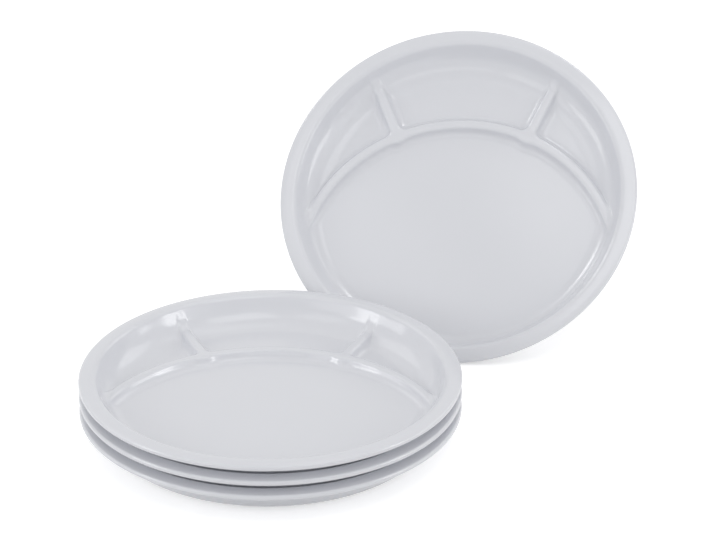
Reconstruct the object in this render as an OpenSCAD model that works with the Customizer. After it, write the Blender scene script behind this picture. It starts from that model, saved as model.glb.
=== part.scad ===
// Set of four round divided plates, each with one large and three small compartments.
// Three plates lie nested in a stack, and the fourth leans back beside them.
// All plates are the same moulding, in millimetres, with the table at z = 0.
// The origin is the centre of the bottom plate's foot ring, on the table.

/* [Plate] */
// Outside diameter over the rim
plate_d = 250; // [220:1:280]
// Height from the table to the top of the lip
plate_h = 21.5; // [20:0.5:27]
// Thickness of the floor
floor_t = 3; // [2.4:0.1:4]
// Thickness of the wall, square to its slope
wall_t = 3.4; // [2.4:0.1:4.4]
// Angle of the wall from upright
wall_draft = 30; // [24:1:36]
// Radius of the hollow between the wall and the floor in the large compartment
floor_fillet = 12.5; // [6:0.5:16]
// Radius of that hollow in the small compartments
bay_fillet = 22; // [17:0.5:25]
// Radius of the outside corner between the wall and the underside
heel_r = 12; // [8:0.5:15]

/* [Lip] */
// Width of the lip from its inner edge to the rim
lip_w = 10.5; // [8:0.5:13]
// Thickness of the lip
lip_t = 3.6; // [2.8:0.1:4.6]
// Fall of the lip from its inner edge to the rim
lip_fall = 1; // [0.4:0.1:1.8]
// Rise of the lip's crown above a straight line from edge to rim
lip_crown = 0.4; // [0.1:0.1:0.6]
// Radius of the crown across the lip
lip_crown_r = 22; // [8:1:30]
// Radius of the lip's inner edge
lip_edge_r = 1.5; // [0.5:0.1:2.5]
// Radius of the hollow where the lip meets the outside of the wall
lip_under_r = 2.5; // [1:0.1:4]
// Radius on both edges of the rim
rim_r = 1.7; // [0.8:0.1:2.2]

/* [Foot ring] */
// Outside diameter of the foot ring
foot_d = 204; // [160:1:206]
// Width of the foot ring
foot_w = 5; // [3:0.5:8]
// Height of the foot ring below the underside
foot_h = 1; // [0.6:0.1:2]
// Radius on the lower edges of the foot ring
foot_r = 0.4; // [0.2:0.1:0.5]

/* [Ribs] */
// Height of the arc rib above the floor
rib_h = 6; // [4:0.5:9]
// How much lower the dividers are than the arc rib
divider_drop = 0.3; // [0.1:0.1:1]
// Width of a rib across its crest, before rounding
rib_crest_w = 6; // [4:0.5:9]
// Angle of the sides of a rib from upright
rib_draft = 20; // [10:1:30]
// Radius of the shoulders of a rib
rib_shoulder_r = 2; // [0.8:0.1:3]
// Radius of the hollow at the foot of the arc rib, and in proportion to their height of the dividers
rib_fillet = 6; // [1:0.5:7]
// Radius of the arc rib at the middle of its crest
arc_r = 113; // [104:1:124]
// Distance of the arc rib's centre in front of the plate's centre
arc_offset = 55.8; // [46:0.2:64]
// Angle of each divider from the plate's middle line, about the arc rib's centre
divider_angle = 24; // [16:1:27]
// Radius of the curve by which a divider's crest rises into the wall
rise_r = 11; // [8:0.5:14]

/* [Stack] */
// Gap between a plate's foot ring and the ribs that it stands on
seat_gap = 0.3; // [0.2:0.1:0.6]
// Least gap between the walls of nested plates
nest_gap = 0.8; // [0.4:0.1:2]
// Turn of the top plate about the stack
top_turn = -1.2; // [-20:0.1:20]

/* [Leaning plate] */
// Angle of the leaning plate from lying flat
lean = 43.7; // [35:0.1:60]
// Turn of the leaning plate about an upright line
lean_turn = -11; // [-25:1:25]
// Turn of the leaning plate about its own axis
lean_spin = 4.3; // [-20:0.1:20]
// Least gap between the leaning plate's rim and the stack, seen from above
lean_gap = 1.5; // [1:0.5:20]
// Bearing of that gap from the middle of the stack
lean_bearing = 61.5; // [45:0.5:80]
// Shift of the leaning plate to the left along the edge of that gap
lean_shift = -24; // [-60:0.5:20]

/* [Hidden] */
// Straight steps in each rounded corner, and in a full turn
arc_steps = 6;
$fn = 180;
// Share of a side that the two rounded corners at its ends may take up
corner_share = 0.98;

// How deep the ribs, the foot ring and the small compartments' hollows are rooted into the floor and the wall
rib_root = 1.2;
foot_root = 1.2;
bay_root = 0.8;
// How far a hollow runs on under the surface that it meets, so that it ends in a clean line
run_out = 0.1;
// How far outside the foot ring a divider starts to rise
rise_clear = 0.6;

plate_r = plate_d / 2;
floor_z = foot_h + floor_t;
crest_z = floor_z + rib_h;
divider_z = crest_z - divider_drop;
lip_r = plate_r - lip_w;
lip_under_z = plate_h - lip_t;
rim_top_z = plate_h - lip_fall;
rim_low_z = rim_top_z - lip_t;
rim_mid_z = rim_top_z - lip_t / 2;
foot_out = foot_d / 2;
foot_in = foot_out - foot_w;

// Radius of the inner wall's line at a height, moved outwards by a depth square to the wall
function wall_r(z, depth = 0) = lip_r - (plate_h - z) * tan(wall_draft) + depth / cos(wall_draft);

// Height of a dished surface at a radius: flat, then rounded up into the slope of the wall
function dish_z(r, flat_z, depth, corner_r) =
    let (edge = wall_r(flat_z, depth))
    let (start = edge - corner_r * tan(45 - wall_draft / 2))
    let (end = start + corner_r * cos(wall_draft))
    r <= start ? flat_z :
    r < end ? flat_z + corner_r - sqrt(corner_r * corner_r - (r - start) * (r - start)) :
    flat_z + (r - edge) / tan(wall_draft);
function inside_z(r) = dish_z(r, floor_z, 0, bay_fillet);
function outside_z(r) = dish_z(r, foot_h, wall_t, heel_r);

// A plate rests on the ribs below it, unless its foot ring or its wall would meet the wall below first
wall_pitch = (wall_t + nest_gap) / sin(wall_draft);
pitch = max(crest_z + seat_gap, inside_z(foot_out) + seat_gap, wall_pitch);

// Where the small compartments' hollow leaves the floor and reaches the wall, a little beyond its curve
bay_reach = bay_fillet * tan(45 - wall_draft / 2) + bay_root;
bay_start = wall_r(floor_z) - bay_reach;
bay_top = floor_z + bay_reach * cos(wall_draft);

// Level length of a divider, from the arc rib to where it starts to rise
rise_start = foot_out + rise_clear;
rise_side = arc_offset * sin(divider_angle);
divider_l = arc_offset * cos(divider_angle) + sqrt(rise_start * rise_start - rise_side * rise_side) - arc_r;
rise_sweep = 90 - wall_draft;
rise_top = divider_z + rise_r * (1 - cos(rise_sweep));

// Outline whose corners, given as [x, y, radius], are rounded no further than its sides allow
function at(path, i) = path[(i + len(path)) % len(path)];
function xy(corner) = [corner.x, corner.y];
function side(path, i, j) = xy(at(path, j)) - xy(at(path, i));
function unit(v) = v / norm(v);
function half_angle(path, i) = acos(unit(side(path, i, i - 1)) * unit(side(path, i, i + 1))) / 2;
function reach(path, i) = at(path, i)[2] / tan(half_angle(path, i));
function room(path, i, j) = norm(side(path, i, j)) / max(reach(path, i) + reach(path, j), 0.001);
function fitted_r(path, i) =
    at(path, i)[2] * min(1, corner_share * room(path, i, i - 1), corner_share * room(path, i, i + 1));
function corner_points(path, i) =
    let (r = fitted_r(path, i))
    r == 0 ? [xy(at(path, i))] :
    let (half = half_angle(path, i))
    let (before = unit(side(path, i, i - 1)))
    let (after = unit(side(path, i, i + 1)))
    let (middle = xy(at(path, i)) + unit(before + after) * r / sin(half))
    let (first = xy(at(path, i)) + before * r / tan(half) - middle)
    let (sweep = (180 - 2 * half) * sign(cross(before, after)) * -1)
    [for (k = [0 : arc_steps])
        let (turn = sweep * k / arc_steps)
        middle + [first.x * cos(turn) - first.y * sin(turn), first.x * sin(turn) + first.y * cos(turn)]];
function rounded(path) = [for (i = [0 : len(path) - 1]) each corner_points(path, i)];

// Half section of the dish, from the middle of its underside round the rim to the middle of its floor
module dish_section() {
    polygon(rounded([
        [0, foot_h, 0],
        [wall_r(foot_h, wall_t), foot_h, heel_r],
        [wall_r(lip_under_z, wall_t), lip_under_z, lip_under_r],
        [plate_r, rim_low_z, rim_r],
        [plate_r, rim_top_z, rim_r],
        [plate_r - lip_w / 2, plate_h - lip_fall / 2 + lip_crown, lip_crown_r],
        [lip_r, plate_h, lip_edge_r],
        [wall_r(floor_z), floor_z, floor_fillet],
        [0, floor_z, 0]
    ]));
}

// Section of the foot ring, rooted in the floor or the wall above it
module foot_section() {
    polygon(rounded([
        [foot_in, 0, foot_r],
        [foot_out, 0, foot_r],
        [foot_out, outside_z(foot_out) + foot_root, 0],
        [foot_in, outside_z(foot_in) + foot_root, 0]
    ]));
}

// Half section of the space that the ribs may fill, a little larger than the dish's hollow
module rib_space_section() {
    polygon(rounded([
        [0, floor_z - rib_root, 0],
        [wall_r(floor_z - rib_root, rib_root), floor_z - rib_root, floor_fillet + rib_root],
        [wall_r(rise_top + rib_root, rib_root), rise_top + rib_root, 0],
        [0, rise_top + rib_root, 0]
    ]));
}

// Section of the filling under the small compartments' larger hollow, rooted in the floor and the wall
module bay_section() {
    polygon(rounded([
        [bay_start, floor_z - bay_root, 0],
        [wall_r(floor_z - bay_root, bay_root), floor_z - bay_root, floor_fillet + bay_root],
        [wall_r(bay_top, bay_root), bay_top, 0],
        [wall_r(bay_top, run_out), bay_top, 0],
        [wall_r(floor_z - run_out, run_out), floor_z - run_out, bay_fillet],
        [bay_start, floor_z - run_out, 0]
    ]));
}

// Cross section of a rib: drafted sides, rounded shoulders and a hollow on each side of its foot
module rib_section(top_z) {
    foot_z = floor_z - run_out;
    crest = rib_crest_w / 2;
    foot = crest + (top_z - foot_z) * tan(rib_draft);
    hollow_r = rib_fillet * (top_z - floor_z) / rib_h;
    edge = foot + hollow_r * tan(45 - rib_draft / 2) + run_out;
    polygon(rounded([
        [-edge, floor_z - rib_root - run_out, 0],
        [edge, floor_z - rib_root - run_out, 0],
        [edge, foot_z, 0],
        [foot, foot_z, hollow_r],
        [crest, top_z, rib_shoulder_r],
        [-crest, top_z, rib_shoulder_r],
        [-foot, foot_z, hollow_r],
        [-edge, foot_z, 0]
    ]));
}

// The rib that bounds the large compartment, from wall to wall
module arc_rib() {
    translate([0, -arc_offset, 0])
        rotate_extrude(angle = 180)
            translate([arc_r, 0])
                rib_section(crest_z);
}

// A rib between two small compartments, level from the arc rib and then curving up into the wall
module divider(angle) {
    translate([0, -arc_offset, 0])
        rotate([0, 0, -angle])
            translate([0, arc_r, 0]) {
                rotate([90, 0, 180])
                    linear_extrude(divider_l)
                        rib_section(divider_z);
                translate([0, divider_l, divider_z + rise_r])
                    rotate([0, 90, 0])
                        rotate_extrude(angle = rise_sweep)
                            translate([divider_z + rise_r, 0])
                                rotate(90)
                                    rib_section(divider_z);
            }
}

// That filling, all the way round but cut off under the arc rib
module bay_filling() {
    difference() {
        rotate_extrude()
            bay_section();
        translate([0, -arc_offset, 0])
            cylinder(r = arc_r, h = plate_h);
    }
}

// One plate: a dish with its ribs, standing on its foot ring
module plate() {
    color([0.86, 0.87, 0.89]) {
        rotate_extrude()
            dish_section();
        rotate_extrude()
            foot_section();
        bay_filling();
        intersection() {
            union() {
                arc_rib();
                for (angle = [-divider_angle, divider_angle])
                    divider(angle);
            }
            rotate_extrude()
                rib_space_section();
        }
    }
}

// Place of the leaning plate: its rim stands on the table, clear of the stack all the way up
rim_c = plate_r - lip_t / 2;
clear_way = [cos(lean_bearing), sin(lean_bearing)];
side_way = [-clear_way.y, clear_way.x];
across = [cos(lean_turn), sin(lean_turn)];
back = [-across.y, across.x];
rim_half = norm([rim_c * (clear_way * across), rim_c * cos(lean) * (clear_way * back)]) + lip_t / 2;
rim_place = clear_way * (plate_r + lean_gap + rim_half) + side_way * lean_shift;
lean_place = rim_place + back * rim_mid_z * sin(lean);
rim_depth = (plate_r - rim_r) * sin(lean) - (rim_low_z + rim_r) * cos(lean) + rim_r;
lean_z = max(rim_depth, foot_out * sin(lean));

module bottom_plate() {
    plate();
}

module middle_plate() {
    translate([0, 0, pitch])
        plate();
}

module top_plate() {
    translate([0, 0, 2 * pitch])
        rotate([0, 0, top_turn])
            plate();
}

module leaning_plate() {
    translate([lean_place.x, lean_place.y, lean_z])
        rotate([lean, 0, lean_turn])
            rotate([0, 0, lean_spin])
                plate();
}

bottom_plate();
middle_plate();
top_plate();
leaning_plate();
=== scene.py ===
"""Divided plates in moulded white melamine: three nested in a stack and one leaning back beside them."""

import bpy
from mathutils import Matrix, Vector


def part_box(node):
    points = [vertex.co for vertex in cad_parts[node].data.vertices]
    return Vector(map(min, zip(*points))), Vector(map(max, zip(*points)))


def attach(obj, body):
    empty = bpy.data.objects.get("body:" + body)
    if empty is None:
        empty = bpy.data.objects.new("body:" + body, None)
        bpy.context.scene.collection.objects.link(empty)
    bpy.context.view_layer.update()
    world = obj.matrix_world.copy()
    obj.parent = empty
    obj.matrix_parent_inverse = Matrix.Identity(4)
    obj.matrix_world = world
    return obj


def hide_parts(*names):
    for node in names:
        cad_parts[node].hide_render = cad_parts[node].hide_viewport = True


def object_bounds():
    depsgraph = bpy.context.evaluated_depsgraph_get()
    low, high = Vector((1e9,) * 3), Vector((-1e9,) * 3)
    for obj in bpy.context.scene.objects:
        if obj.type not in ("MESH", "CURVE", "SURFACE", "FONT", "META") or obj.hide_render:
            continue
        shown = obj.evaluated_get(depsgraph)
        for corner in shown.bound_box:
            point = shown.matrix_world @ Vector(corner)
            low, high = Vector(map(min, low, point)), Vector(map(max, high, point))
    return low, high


bl_info = {
    "name": "Divided Plates",
    "version": (1, 0, 0),
    "blender": (4, 5, 0),
    "location": "View3D > Sidebar > Plates",
    "description": "Moulds a set of round divided plates and the plain studio that shows them",
    "category": "Add Mesh",
}

import math

import bmesh
import bpy
from bpy.props import FloatProperty, FloatVectorProperty, IntProperty, PointerProperty
from mathutils import Matrix, Vector

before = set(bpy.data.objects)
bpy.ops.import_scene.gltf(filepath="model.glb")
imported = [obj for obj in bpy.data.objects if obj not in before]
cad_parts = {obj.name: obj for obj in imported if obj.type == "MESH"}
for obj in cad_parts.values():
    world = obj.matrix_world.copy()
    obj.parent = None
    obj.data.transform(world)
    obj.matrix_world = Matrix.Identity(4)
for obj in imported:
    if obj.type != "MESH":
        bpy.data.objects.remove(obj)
cad_low, cad_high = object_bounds()

STACK = ("bottom_plate", "middle_plate", "top_plate")
LEANING = "leaning_plate"

# Distances from the ribs within which the mesh is divided once, twice and three times
REFINE_REACHES = (0.013, 0.010, 0.007)
# How far below the lip the hollow ends, as a share of the radius of the lip's inner edge
EDGE_SHARE = 0.4
# Least upward part of a face's normal in the hollow
UPWARD = 0.1
# Distance within which doubled points are merged
MERGE = 1e-6

# Height over the table at which the softboxes are aimed
AIM_HEIGHT = 0.06
# Distance from the middle to each edge of the floor
FLOOR_REACH = 4.0
# Width of the camera's sensor in millimetres, and how far it sees in metres
SENSOR_WIDTH = 36.0
SIGHT = 50.0

# Softboxes in degrees and metres: name, azimuth, elevation, distance, width, height, share of brightness
TOP_BOXES = (
    ("top_right_light", -60, 69, 1.2, 0.6, 0.55, 1.3),
    ("top_left_light", -146, 59, 1.3, 0.5, 0.55, 0.7),
    ("rear_top_light", 60, 68, 1.2, 0.7, 0.45, 0.45),
)
STACK_BOXES = (
    ("right_gloss", -20, 26, 1.2, 0.3, 0.55, 1.0),
    ("left_gloss", 200, 26, 1.2, 0.3, 0.55, 1.0),
)
LEANING_BOXES = (
    ("rear_left_gloss", 142, 41, 1.3, 0.22, 0.35, 1.0),
    ("rear_right_gloss", 53, 60, 1.2, 0.25, 0.3, 1.0),
)
FILL_BOXES = (
    ("right_fill", -8, 14, 1.1, 0.6, 0.3, 2.2),
    ("left_fill", 188, 14, 1.1, 0.6, 0.3, 1.7),
    ("front_fill", 266, 20, 2.2, 1.6, 0.5, 0.7),
    ("front_left_fill", 225, 22, 1.5, 0.7, 0.6, 0.9),
    ("front_right_fill", 322, 22, 1.5, 0.7, 0.6, 0.4),
    ("rear_right_fill", 40, 35, 1.3, 0.6, 0.5, 1.0),
    ("rear_left_fill", 140, 40, 1.3, 0.6, 0.5, 0.7),
)

# Sizes that the frame gives
plate_low, plate_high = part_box("bottom_plate")
PLATE_DIAMETER = plate_high.x - plate_low.x
TABLE_Z = plate_low.z


class PlateShape(bpy.types.PropertyGroup):
    """Sizes of one plate. All plates are the same moulding."""

    diameter: FloatProperty(
        name="Diameter", description="Outside diameter over the rim", default=PLATE_DIAMETER, unit="LENGTH")
    height: FloatProperty(
        name="Height", description="From the table to the inner edge of the lip",
        default=0.0215, unit="LENGTH")
    floor_thickness: FloatProperty(
        name="Floor thickness", description="Thickness of the floor", default=0.003, unit="LENGTH")
    wall_thickness: FloatProperty(
        name="Wall thickness", description="Thickness of the wall, square to it",
        default=0.0034, unit="LENGTH")
    wall_draft: FloatProperty(
        name="Wall draft", description="Angle of the wall from upright",
        default=math.radians(30), subtype="ANGLE")
    floor_hollow: FloatProperty(
        name="Floor hollow", description="Radius between floor and wall in the large compartment",
        default=0.0125, unit="LENGTH")
    bay_hollow: FloatProperty(
        name="Bay hollow", description="Radius between floor and wall in the small compartments",
        default=0.022, unit="LENGTH")
    heel: FloatProperty(
        name="Heel", description="Radius outside, between wall and underside", default=0.012, unit="LENGTH")
    lip_width: FloatProperty(
        name="Lip width", description="From the lip's inner edge to the rim", default=0.0105, unit="LENGTH")
    lip_thickness: FloatProperty(
        name="Lip thickness", description="Thickness of the lip", default=0.0036, unit="LENGTH")
    lip_fall: FloatProperty(
        name="Lip fall", description="Fall of the lip from its inner edge to the rim",
        default=0.001, unit="LENGTH")
    lip_crown: FloatProperty(
        name="Lip crown", description="Rise of the lip's middle above a straight line",
        default=0.0004, unit="LENGTH")
    lip_crown_radius: FloatProperty(
        name="Crown radius", description="Radius of the crown across the lip", default=0.022, unit="LENGTH")
    lip_edge: FloatProperty(
        name="Lip edge", description="Radius of the lip's inner edge", default=0.004, unit="LENGTH")
    lip_under: FloatProperty(
        name="Under the lip", description="Radius where the lip meets the wall outside",
        default=0.0025, unit="LENGTH")
    rim_edge: FloatProperty(
        name="Rim edge", description="Radius on both edges of the rim", default=0.0017, unit="LENGTH")
    foot_diameter: FloatProperty(
        name="Foot diameter", description="Outside diameter of the foot ring", default=0.204, unit="LENGTH")
    foot_width: FloatProperty(
        name="Foot width", description="Width of the foot ring", default=0.005, unit="LENGTH")
    foot_height: FloatProperty(
        name="Foot height", description="Height of the foot ring", default=0.001, unit="LENGTH")
    foot_edge: FloatProperty(
        name="Foot edge", description="Radius on the foot ring's edges", default=0.0004, unit="LENGTH")
    turns: IntProperty(
        name="Turn steps", description="Steps in a full turn of the moulding", default=160)
    grid: FloatProperty(
        name="Grid", description="Largest step along the moulding's section", default=0.0025, unit="LENGTH")


class RibShape(bpy.types.PropertyGroup):
    """Sizes of the ribs that part the compartments."""

    height: FloatProperty(
        name="Height", description="Height of the arc rib above the floor", default=0.006, unit="LENGTH")
    divider_drop: FloatProperty(
        name="Divider drop", description="How much lower the dividers are", default=0.0003, unit="LENGTH")
    crest_width: FloatProperty(
        name="Crest width", description="Width across the crest before rounding",
        default=0.006, unit="LENGTH")
    draft: FloatProperty(
        name="Draft", description="Angle of a rib's sides from upright",
        default=math.radians(20), subtype="ANGLE")
    shoulder: FloatProperty(
        name="Shoulder", description="Radius of a rib's shoulders", default=0.0026, unit="LENGTH")
    hollow: FloatProperty(
        name="Hollow", description="Radius at a rib's foot", default=0.006, unit="LENGTH")
    join: FloatProperty(
        name="Join blend", description="Distance over which dividers run into the arc",
        default=0.006, unit="LENGTH")
    wall_blend: FloatProperty(
        name="Wall blend", description="Height over which ribs run into the wall",
        default=0.004, unit="LENGTH")
    rise: FloatProperty(
        name="Rise", description="Radius by which a divider's crest curves up to the wall", default=0.011,
        unit="LENGTH")
    rise_clear: FloatProperty(
        name="Rise clearance", description="How far outside the foot ring that curve starts", default=0.0006,
        unit="LENGTH")
    arc_radius: FloatProperty(
        name="Arc radius", description="Radius of the arc rib", default=0.113, unit="LENGTH")
    arc_offset: FloatProperty(
        name="Arc offset", description="Arc's centre in front of the plate's", default=0.0558, unit="LENGTH")
    divider_angle: FloatProperty(
        name="Divider angle", description="Angle of the dividers from the middle, about the arc's centre",
        default=math.radians(24), subtype="ANGLE")


class PlatePlaces(bpy.types.PropertyGroup):
    """How the plates are turned. Their places come from the frame."""

    top_turn: FloatProperty(
        name="Top turn", description="Turn of the top plate about the stack", default=math.radians(-1.2),
        subtype="ANGLE")
    lean: FloatProperty(
        name="Lean", description="Angle of the leaning plate from lying flat", default=math.radians(43.7),
        subtype="ANGLE")
    lean_turn: FloatProperty(
        name="Lean turn", description="Turn of the leaning plate about an upright line",
        default=math.radians(-11), subtype="ANGLE")
    lean_spin: FloatProperty(
        name="Lean spin", description="Turn of the leaning plate about its own axis",
        default=math.radians(4.3), subtype="ANGLE")


class MelamineFinish(bpy.types.PropertyGroup):
    """Finish of the moulded melamine."""

    color: FloatVectorProperty(
        name="Colour", description="Cool white of the melamine", default=(0.75, 0.76, 0.80), subtype="COLOR")
    cloud_color: FloatVectorProperty(
        name="Cloud colour", description="Slightly greyer white in the clouding",
        default=(0.735, 0.745, 0.785), subtype="COLOR")
    roughness: FloatProperty(
        name="Roughness", description="Roughness of the moulded gloss", default=0.14, subtype="FACTOR")
    roughness_spread: FloatProperty(
        name="Roughness spread", description="Share by which the clouding changes the roughness",
        default=0.1, subtype="FACTOR")
    foot_roughness: FloatProperty(
        name="Foot roughness", description="Roughness of the worn foot ring", default=0.55, subtype="FACTOR")
    refraction: FloatProperty(name="Refraction", description="Refractive index of the melamine", default=1.6)
    ripple: FloatProperty(
        name="Ripple", description="Strength of the skin's fine ripple", default=0.05, subtype="FACTOR")
    ripple_depth: FloatProperty(
        name="Ripple depth", description="Depth of the skin's fine ripple", default=0.0002, unit="LENGTH")


class StudioSetup(bpy.types.PropertyGroup):
    """Camera, lamps and floor."""

    camera_place: FloatVectorProperty(
        name="Camera place", description="Where the camera stands", default=(0.05703, -1.8248, 0.9946),
        subtype="TRANSLATION", unit="LENGTH")
    camera_elevation: FloatProperty(
        name="Camera elevation", description="Angle at which the camera looks down",
        default=math.radians(25.709), subtype="ANGLE")
    camera_lens: FloatProperty(name="Lens", description="Focal length in millimetres", default=158.77)
    world_light: FloatProperty(name="World light", description="Strength of the even light", default=0.59)
    top_light: FloatProperty(
        name="Top light", description="Brightness of the softboxes overhead", default=1.0)
    gloss_light: FloatProperty(
        name="Gloss light", description="Brightness of the softboxes that only show in the gloss",
        default=4.0)
    fill_light: FloatProperty(
        name="Fill light", description="Brightness of the low softboxes around the plates", default=1.05)
    floor_light: FloatProperty(
        name="Floor light", description="White added to the floor where it is seen", default=0.45)
    floor_color: FloatVectorProperty(
        name="Floor colour", description="Colour of the pale floor",
        default=(0.9, 0.9, 0.9), subtype="COLOR")


def smooth_max(a, b, blend):
    """The larger of two lengths, rounded where they come within the blend of each other."""
    near = max(blend - abs(a - b), 0.0)
    return max(a, b) + near * near / (4 * blend) if near else max(a, b)


def smooth_step(value):
    """Eases a value between 0 and 1."""
    value = min(max(value, 0.0), 1.0)
    return value * value * (3 - 2 * value)


def arc_rise(run, radius):
    """Height that a curve which starts level gains over a run, held within its circle."""
    run = min(max(run, 0.0), radius)
    return radius - math.sqrt(radius * radius - run * run)


def wall_radius(shape, height, depth=0.0):
    """Radius of the inner wall's line at a height, moved outwards by a depth square to the wall."""
    lip_radius = shape.diameter / 2 - shape.lip_width
    run = (shape.height - height) * math.tan(shape.wall_draft)
    return lip_radius - run + depth / math.cos(shape.wall_draft)


def section_corners(shape):
    """Corners of a plate's half section as (radius, height, rounding, segments), from floor to underside."""
    rim = shape.diameter / 2
    lip = rim - shape.lip_width
    floor = shape.foot_height + shape.floor_thickness
    under = shape.height - shape.lip_thickness
    rim_top = shape.height - shape.lip_fall
    rim_low = rim_top - shape.lip_thickness
    crown = shape.height - shape.lip_fall / 2 + shape.lip_crown
    foot_out = shape.foot_diameter / 2
    foot_in = foot_out - shape.foot_width
    return (
        (0.0, floor, 0.0, 0),
        (wall_radius(shape, floor), floor, shape.floor_hollow, 14),
        (lip, shape.height, shape.lip_edge, 8),
        (rim - shape.lip_width / 2, crown, shape.lip_crown_radius, 5),
        (rim, rim_top, shape.rim_edge, 9),
        (rim, rim_low, shape.rim_edge, 9),
        (wall_radius(shape, under, shape.wall_thickness), under, shape.lip_under, 8),
        (wall_radius(shape, shape.foot_height, shape.wall_thickness), shape.foot_height, shape.heel, 12),
        (foot_out, shape.foot_height, shape.foot_edge, 3),
        (foot_out, 0.0, shape.foot_edge, 3),
        (foot_in, 0.0, shape.foot_edge, 3),
        (foot_in, shape.foot_height, shape.foot_edge, 3),
        (0.0, shape.foot_height, 0.0, 0),
    )


def draw_section(bm, shape):
    """Draws a plate's half section as a line of edges, with its corners rounded and long edges divided."""
    corners = section_corners(shape)
    points = [Vector((radius, 0.0, height)) for radius, height, _, _ in corners]
    line = [bm.verts.new(point) for point in points]
    for start, end in zip(line, line[1:]):
        bm.edges.new((start, end))
    for i in range(1, len(corners) - 1):
        rounding, segments = corners[i][2:]
        half = (points[i - 1] - points[i]).angle(points[i + 1] - points[i]) / 2
        bmesh.ops.bevel(
            bm, geom=[line[i]], offset=rounding / math.tan(half), offset_type="OFFSET", segments=segments,
            profile=0.5, affect="VERTICES", material=-1)
    for edge in bm.edges[:]:
        cuts = int(edge.calc_length() / shape.grid)
        if cuts:
            bmesh.ops.subdivide_edges(bm, edges=[edge], cuts=cuts)


def rib_distances(ribs, point):
    """Distances of a point from the arc rib's middle, the nearer divider's and the arc's centre."""
    ahead = point.y + ribs.arc_offset
    radius = math.hypot(point.x, ahead)
    arc = abs(radius - ribs.arc_radius)
    along = abs(point.x) * math.sin(ribs.divider_angle) + ahead * math.cos(ribs.divider_angle)
    across = abs(point.x) * math.cos(ribs.divider_angle) - ahead * math.sin(ribs.divider_angle)
    divider = math.hypot(across, max(ribs.arc_radius - along, 0.0))
    return arc, divider, radius


def rib_height(ribs, distance, crest):
    """Height of a rib over the floor at a distance from its middle: crest, shoulder, side and hollow."""
    half = ribs.crest_width / 2
    reach = math.tan(math.pi / 4 - ribs.draft / 2)
    shoulder = half - ribs.shoulder * reach
    foot = half + crest * math.tan(ribs.draft) + ribs.hollow * reach
    if distance < shoulder + ribs.shoulder * math.cos(ribs.draft):
        return crest - arc_rise(distance - shoulder, ribs.shoulder)
    if distance > foot - ribs.hollow * math.cos(ribs.draft):
        return arc_rise(foot - distance, ribs.hollow)
    return crest - (distance - half) / math.tan(ribs.draft)


def bay_height(shape, radius):
    """Height over the floor of the small compartments' hollow, from the floor to where it meets the wall."""
    floor = shape.foot_height + shape.floor_thickness
    reach = shape.bay_hollow * math.tan(math.pi / 4 - shape.wall_draft / 2)
    run = radius - wall_radius(shape, floor) + reach
    return arc_rise(run, shape.bay_hollow) if run < shape.bay_hollow * math.cos(shape.wall_draft) else 0.0


def hollow_height(shape, ribs, point):
    """Height of the compartments' surface at a point of the plain dish."""
    floor = shape.foot_height + shape.floor_thickness
    arc, divider, radius = rib_distances(ribs, point)
    behind = (radius - ribs.arc_radius) / ribs.crest_width
    out = math.hypot(point.x, point.y)
    base = point.z - floor
    # The small compartments' hollow comes in across the crest of the arc rib
    base += smooth_step(behind + 1 / 2) * max(bay_height(shape, out) - base, 0.0)
    # A divider's crest curves up until it is as steep as the wall
    run = out - shape.foot_diameter / 2 - ribs.rise_clear
    rise = arc_rise(min(run, ribs.rise * math.cos(shape.wall_draft)), ribs.rise)
    crest = ribs.height + smooth_step(behind) * (rise - ribs.divider_drop)
    distance = -smooth_max(-arc, -divider, ribs.join)
    return floor + smooth_max(base, rib_height(ribs, distance, crest), min(ribs.wall_blend, base))


def is_inside(face, lip_radius):
    """Whether a face belongs to the hollow of a plate."""
    reach = max(math.hypot(vert.co.x, vert.co.y) for vert in face.verts)
    return face.normal.z > UPWARD and reach < lip_radius


def mould_plate(bm, shape, ribs):
    """Spins a plate's section and raises the ribs out of its floor and wall."""
    draw_section(bm, shape)
    bmesh.ops.spin(
        bm, geom=bm.verts[:] + bm.edges[:], cent=(0, 0, 0), axis=(0, 0, 1), dvec=(0, 0, 0),
        angle=math.tau, steps=shape.turns, use_merge=True, use_duplicate=False)
    bmesh.ops.remove_doubles(bm, verts=bm.verts, dist=MERGE)
    bmesh.ops.recalc_face_normals(bm, faces=bm.faces)
    lip_radius = wall_radius(shape, shape.height - shape.lip_edge * EDGE_SHARE)
    for reach in REFINE_REACHES:
        near = [face for face in bm.faces if is_inside(face, lip_radius)
                and min(rib_distances(ribs, face.calc_center_median())[:2]) < reach]
        edges = {edge for face in near for edge in face.edges}
        bmesh.ops.subdivide_edges(bm, edges=list(edges), cuts=1, use_grid_fill=True)
    bm.normal_update()
    hollow = {vert for face in bm.faces if is_inside(face, lip_radius) for vert in face.verts}
    for vert in hollow:
        vert.co.z = hollow_height(shape, ribs, vert.co)
    for face in bm.faces:
        face.smooth = True


def mark_foot(bm, shape):
    """Marks the foot ring's resting face, which is worn."""
    worn = bm.verts.layers.float.new("foot_wear")
    for vert in bm.verts:
        vert[worn] = max(0.0, 1 - vert.co.z / (shape.foot_height / 2))


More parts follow.
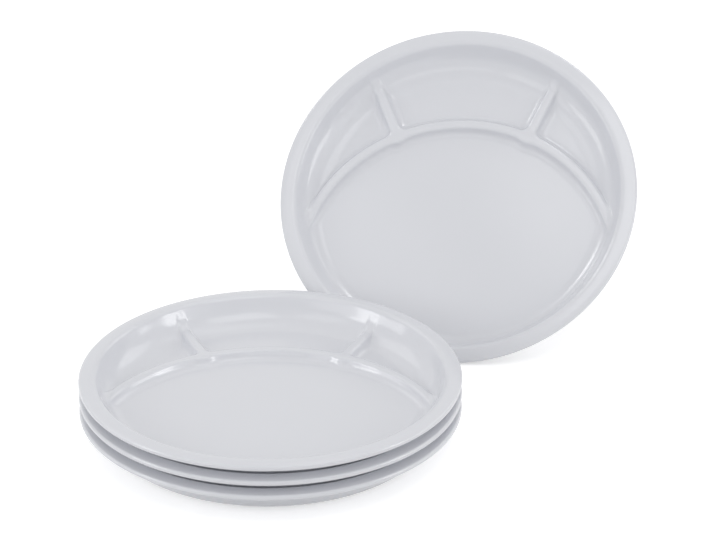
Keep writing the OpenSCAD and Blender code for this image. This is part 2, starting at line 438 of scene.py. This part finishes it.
def add_plate(context, node, turn):
    """Moulds a plate, turns it, sets it in its node's place and rides it on that node's body."""
    scene = context.scene
    bm = bmesh.new()
    mould_plate(bm, scene.plate_shape, scene.plate_ribs)
    mark_foot(bm, scene.plate_shape)
    bmesh.ops.transform(bm, matrix=turn, verts=bm.verts)
    low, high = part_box(node)
    middle = Vector((0, 0, 0))
    for axis in range(3):
        values = [vert.co[axis] for vert in bm.verts]
        middle[axis] = (min(values) + max(values)) / 2
    bmesh.ops.translate(bm, vec=(low + high) / 2 - middle, verts=bm.verts)
    bmesh.ops.recalc_face_normals(bm, faces=bm.faces)
    mesh = bpy.data.meshes.new(node + "_moulding")
    bm.to_mesh(mesh)
    bm.free()
    mesh.materials.append(melamine(scene.plate_finish))
    piece = bpy.data.objects.new(mesh.name, mesh)
    scene.collection.objects.link(piece)
    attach(piece, node)
    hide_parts(node)


def link(tree, output, target):
    """Joins two sockets of a node tree."""
    tree.links.new(output, target)


def clouding_group():
    """Shader group: faint clouding of moulded resin and the fine ripple of its skin."""
    name = "moulded_clouding"
    if name in bpy.data.node_groups:
        return bpy.data.node_groups[name]
    group = bpy.data.node_groups.new(name, "ShaderNodeTree")
    for socket, value in (("Cloud Scale", 18.0), ("Ripple Scale", 260.0)):
        scale = group.interface.new_socket(socket, in_out="INPUT", socket_type="NodeSocketFloat")
        scale.default_value = value
    group.interface.new_socket("Cloud", in_out="OUTPUT", socket_type="NodeSocketFloat")
    group.interface.new_socket("Ripple", in_out="OUTPUT", socket_type="NodeSocketFloat")
    entry = group.nodes.new("NodeGroupInput")
    leave = group.nodes.new("NodeGroupOutput")
    place = group.nodes.new("ShaderNodeTexCoord")
    for socket, detail in (("Cloud", 3.0), ("Ripple", 2.0)):
        noise = group.nodes.new("ShaderNodeTexNoise")
        noise.inputs["Detail"].default_value = detail
        link(group, place.outputs["Object"], noise.inputs["Vector"])
        link(group, entry.outputs[socket + " Scale"], noise.inputs["Scale"])
        link(group, noise.outputs["Fac"], leave.inputs[socket])
    return group


def melamine(finish):
    """Glossy white melamine: cool white with faint clouding, a fine ripple and a worn foot ring."""
    name = "white_melamine_gloss"
    if name in bpy.data.materials:
        return bpy.data.materials[name]
    material = bpy.data.materials.new(name)
    material.use_nodes = True
    tree = material.node_tree
    shader = tree.nodes["Principled BSDF"]
    shader.inputs["IOR"].default_value = finish.refraction
    group = tree.nodes.new("ShaderNodeGroup")
    group.node_tree = clouding_group()
    tint = tree.nodes.new("ShaderNodeMix")
    tint.data_type = "RGBA"
    tint.inputs["A"].default_value = (*finish.color, 1)
    tint.inputs["B"].default_value = (*finish.cloud_color, 1)
    link(tree, group.outputs["Cloud"], tint.inputs["Factor"])
    link(tree, tint.outputs["Result"], shader.inputs["Base Color"])
    worn = tree.nodes.new("ShaderNodeAttribute")
    worn.attribute_name = "foot_wear"
    gloss = tree.nodes.new("ShaderNodeMapRange")
    gloss.inputs["To Min"].default_value = finish.roughness * (1 - finish.roughness_spread)
    gloss.inputs["To Max"].default_value = finish.roughness * (1 + finish.roughness_spread)
    link(tree, group.outputs["Cloud"], gloss.inputs["Value"])
    wear = tree.nodes.new("ShaderNodeMix")
    wear.data_type = "FLOAT"
    wear.inputs["B"].default_value = finish.foot_roughness
    link(tree, worn.outputs["Fac"], wear.inputs["Factor"])
    link(tree, gloss.outputs["Result"], wear.inputs["A"])
    link(tree, wear.outputs["Result"], shader.inputs["Roughness"])
    bump = tree.nodes.new("ShaderNodeBump")
    bump.inputs["Strength"].default_value = finish.ripple
    bump.inputs["Distance"].default_value = finish.ripple_depth
    link(tree, group.outputs["Ripple"], bump.inputs["Height"])
    link(tree, bump.outputs["Normal"], shader.inputs["Normal"])
    return material


class PLATES_OT_stack(bpy.types.Operator):
    """Mould the plates that lie nested in the stack"""

    bl_idname = "plates.stack"
    bl_label = "Stacked Plates"

    def execute(self, context):
        """Makes one plate for each place in the stack."""
        for node in STACK:
            angle = context.scene.plate_places.top_turn if node == STACK[-1] else 0.0
            add_plate(context, node, Matrix.Rotation(angle, 4, "Z"))
        return {"FINISHED"}


class PLATES_OT_leaning(bpy.types.Operator):
    """Mould the plate that leans back beside the stack"""

    bl_idname = "plates.leaning"
    bl_label = "Leaning Plate"

    def execute(self, context):
        """Makes one plate, spun about its axis, tilted back and turned."""
        places = context.scene.plate_places
        turn = Matrix.Rotation(places.lean_turn, 4, "Z") @ Matrix.Rotation(places.lean, 4, "X")
        add_plate(context, LEANING, turn @ Matrix.Rotation(places.lean_spin, 4, "Z"))
        return {"FINISHED"}


def seen_strength(tree, seen, unseen):
    """Strength socket: one value for camera, glossy and transmission rays, another for the light itself."""
    path = tree.nodes.new("ShaderNodeLightPath")
    either = tree.nodes.new("ShaderNodeMath")
    either.operation = "MAXIMUM"
    link(tree, path.outputs["Is Camera Ray"], either.inputs[0])
    link(tree, path.outputs["Is Glossy Ray"], either.inputs[1])
    any_seen = tree.nodes.new("ShaderNodeMath")
    any_seen.operation = "MAXIMUM"
    link(tree, either.outputs["Value"], any_seen.inputs[0])
    link(tree, path.outputs["Is Transmission Ray"], any_seen.inputs[1])
    strength = tree.nodes.new("ShaderNodeMix")
    strength.data_type = "FLOAT"
    strength.inputs["A"].default_value = unseen
    strength.inputs["B"].default_value = seen
    link(tree, any_seen.outputs["Value"], strength.inputs["Factor"])
    return strength.outputs["Result"]


def pale_floor(studio):
    """Floor material: pale matt colour that takes the shadow, lifted to white where it is seen."""
    material = bpy.data.materials.new("pale_floor")
    material.use_nodes = True
    tree = material.node_tree
    shader = tree.nodes["Principled BSDF"]
    shader.inputs["Base Color"].default_value = (*studio.floor_color, 1)
    shader.inputs["Roughness"].default_value = 1.0
    shader.inputs["Specular IOR Level"].default_value = 0.0
    shader.inputs["Emission Color"].default_value = (1, 1, 1, 1)
    link(tree, seen_strength(tree, studio.floor_light, 0.0), shader.inputs["Emission Strength"])
    return material


def add_floor(context, studio):
    """Lays the floor that the plates stand on."""
    bm = bmesh.new()
    bmesh.ops.create_grid(bm, x_segments=1, y_segments=1, size=FLOOR_REACH)
    bmesh.ops.translate(bm, vec=(0, 0, TABLE_Z), verts=bm.verts)
    mesh = bpy.data.meshes.new("studio_floor")
    bm.to_mesh(mesh)
    bm.free()
    mesh.materials.append(pale_floor(studio))
    floor = bpy.data.objects.new(mesh.name, mesh)
    context.scene.collection.objects.link(floor)


def add_world(context, studio):
    """Even light all round, seen as plain white."""
    world = bpy.data.worlds.new("white_studio")
    context.scene.world = world
    world.use_nodes = True
    tree = world.node_tree
    background = tree.nodes["Background"]
    background.inputs["Color"].default_value = (1, 1, 1, 1)
    link(tree, seen_strength(tree, 1.0, studio.world_light), background.inputs["Strength"])


def gloss_group(nodes):
    """Collection of the plates in which a softbox only shows as a highlight."""
    group = bpy.data.collections.new(nodes[-1] + "_gloss")
    for node in nodes:
        group.objects.link(bpy.data.objects[node + "_moulding"])
    return group


def add_softbox(context, target, box, brightness, shown_in=None):
    """Hangs a softbox out of the camera's sight. One that is shown in a group only draws its highlights."""
    name, azimuth, elevation, distance, width, height, share = box
    lamp = bpy.data.lights.new(name, "AREA")
    lamp.shape = "RECTANGLE"
    lamp.size = width
    lamp.size_y = height
    lamp.energy = math.pi * width * height * brightness * share
    softbox = bpy.data.objects.new(name, lamp)
    level = distance * math.cos(math.radians(elevation))
    way = Vector((
        level * math.cos(math.radians(azimuth)), level * math.sin(math.radians(azimuth)),
        distance * math.sin(math.radians(elevation))))
    softbox.location = target + way
    softbox.rotation_euler = (-way).to_track_quat("-Z", "Y").to_euler()
    softbox.visible_camera = False
    if shown_in:
        softbox.visible_diffuse = False
        softbox.light_linking.receiver_collection = shown_in
    context.scene.collection.objects.link(softbox)


def add_camera(context, studio):
    """Sets the camera at the photograph's viewing angle."""
    camera = bpy.data.objects.new("camera", bpy.data.cameras.new("camera"))
    camera.data.sensor_width = SENSOR_WIDTH
    camera.data.lens = studio.camera_lens
    camera.data.clip_end = SIGHT
    camera.location = studio.camera_place
    camera.rotation_euler = (math.pi / 2 - studio.camera_elevation, 0.0, 0.0)
    context.scene.collection.objects.link(camera)
    context.scene.camera = camera


class PLATES_OT_stage(bpy.types.Operator):
    """Set up the floor, the soft studio light and the camera, once the plates are moulded"""

    bl_idname = "plates.stage"
    bl_label = "Studio"

    def execute(self, context):
        """Lays the floor, hangs the lights and sets the camera."""
        studio = context.scene.plate_studio
        middle = (cad_low + cad_high) / 2
        middle.z = TABLE_Z + AIM_HEIGHT
        add_world(context, studio)
        add_floor(context, studio)
        groups = (
            (TOP_BOXES, studio.top_light, None), (FILL_BOXES, studio.fill_light, None),
            (STACK_BOXES, studio.gloss_light, gloss_group(STACK)),
            (LEANING_BOXES, studio.gloss_light, gloss_group((LEANING,))))
        for boxes, brightness, shown_in in groups:
            for box in boxes:
                add_softbox(context, middle, box, brightness, shown_in)
        add_camera(context, studio)
        context.scene.view_settings.view_transform = "Standard"
        return {"FINISHED"}


class PLATES_PT_panel(bpy.types.Panel):
    """Lists the pieces and the studio in the sidebar"""

    bl_idname = "PLATES_PT_panel"
    bl_label = "Divided Plates"
    bl_space_type = "VIEW_3D"
    bl_region_type = "UI"
    bl_category = "Plates"

    def draw(self, context):
        """Shows one button for each operator."""
        for operator in (PLATES_OT_stack, PLATES_OT_leaning, PLATES_OT_stage):
            self.layout.operator(operator.bl_idname)


CLASSES = (
    PlateShape, RibShape, PlatePlaces, MelamineFinish, StudioSetup,
    PLATES_OT_stack, PLATES_OT_leaning, PLATES_OT_stage, PLATES_PT_panel,
)


def register():
    """Registers the classes and hangs their properties on the scene."""
    for cls in CLASSES:
        bpy.utils.register_class(cls)
    bpy.types.Scene.plate_shape = PointerProperty(type=PlateShape)
    bpy.types.Scene.plate_ribs = PointerProperty(type=RibShape)
    bpy.types.Scene.plate_places = PointerProperty(type=PlatePlaces)
    bpy.types.Scene.plate_finish = PointerProperty(type=MelamineFinish)
    bpy.types.Scene.plate_studio = PointerProperty(type=StudioSetup)


def unregister():
    """Takes the properties and the classes away again."""
    for name in ("plate_shape", "plate_ribs", "plate_places", "plate_finish", "plate_studio"):
        delattr(bpy.types.Scene, name)
    for cls in reversed(CLASSES):
        bpy.utils.unregister_class(cls)


def main():
    """Makes the plates and the studio."""
    register()
    bpy.ops.plates.stack()
    bpy.ops.plates.leaning()
    bpy.ops.plates.stage()


if __name__ == "__main__":
    main()
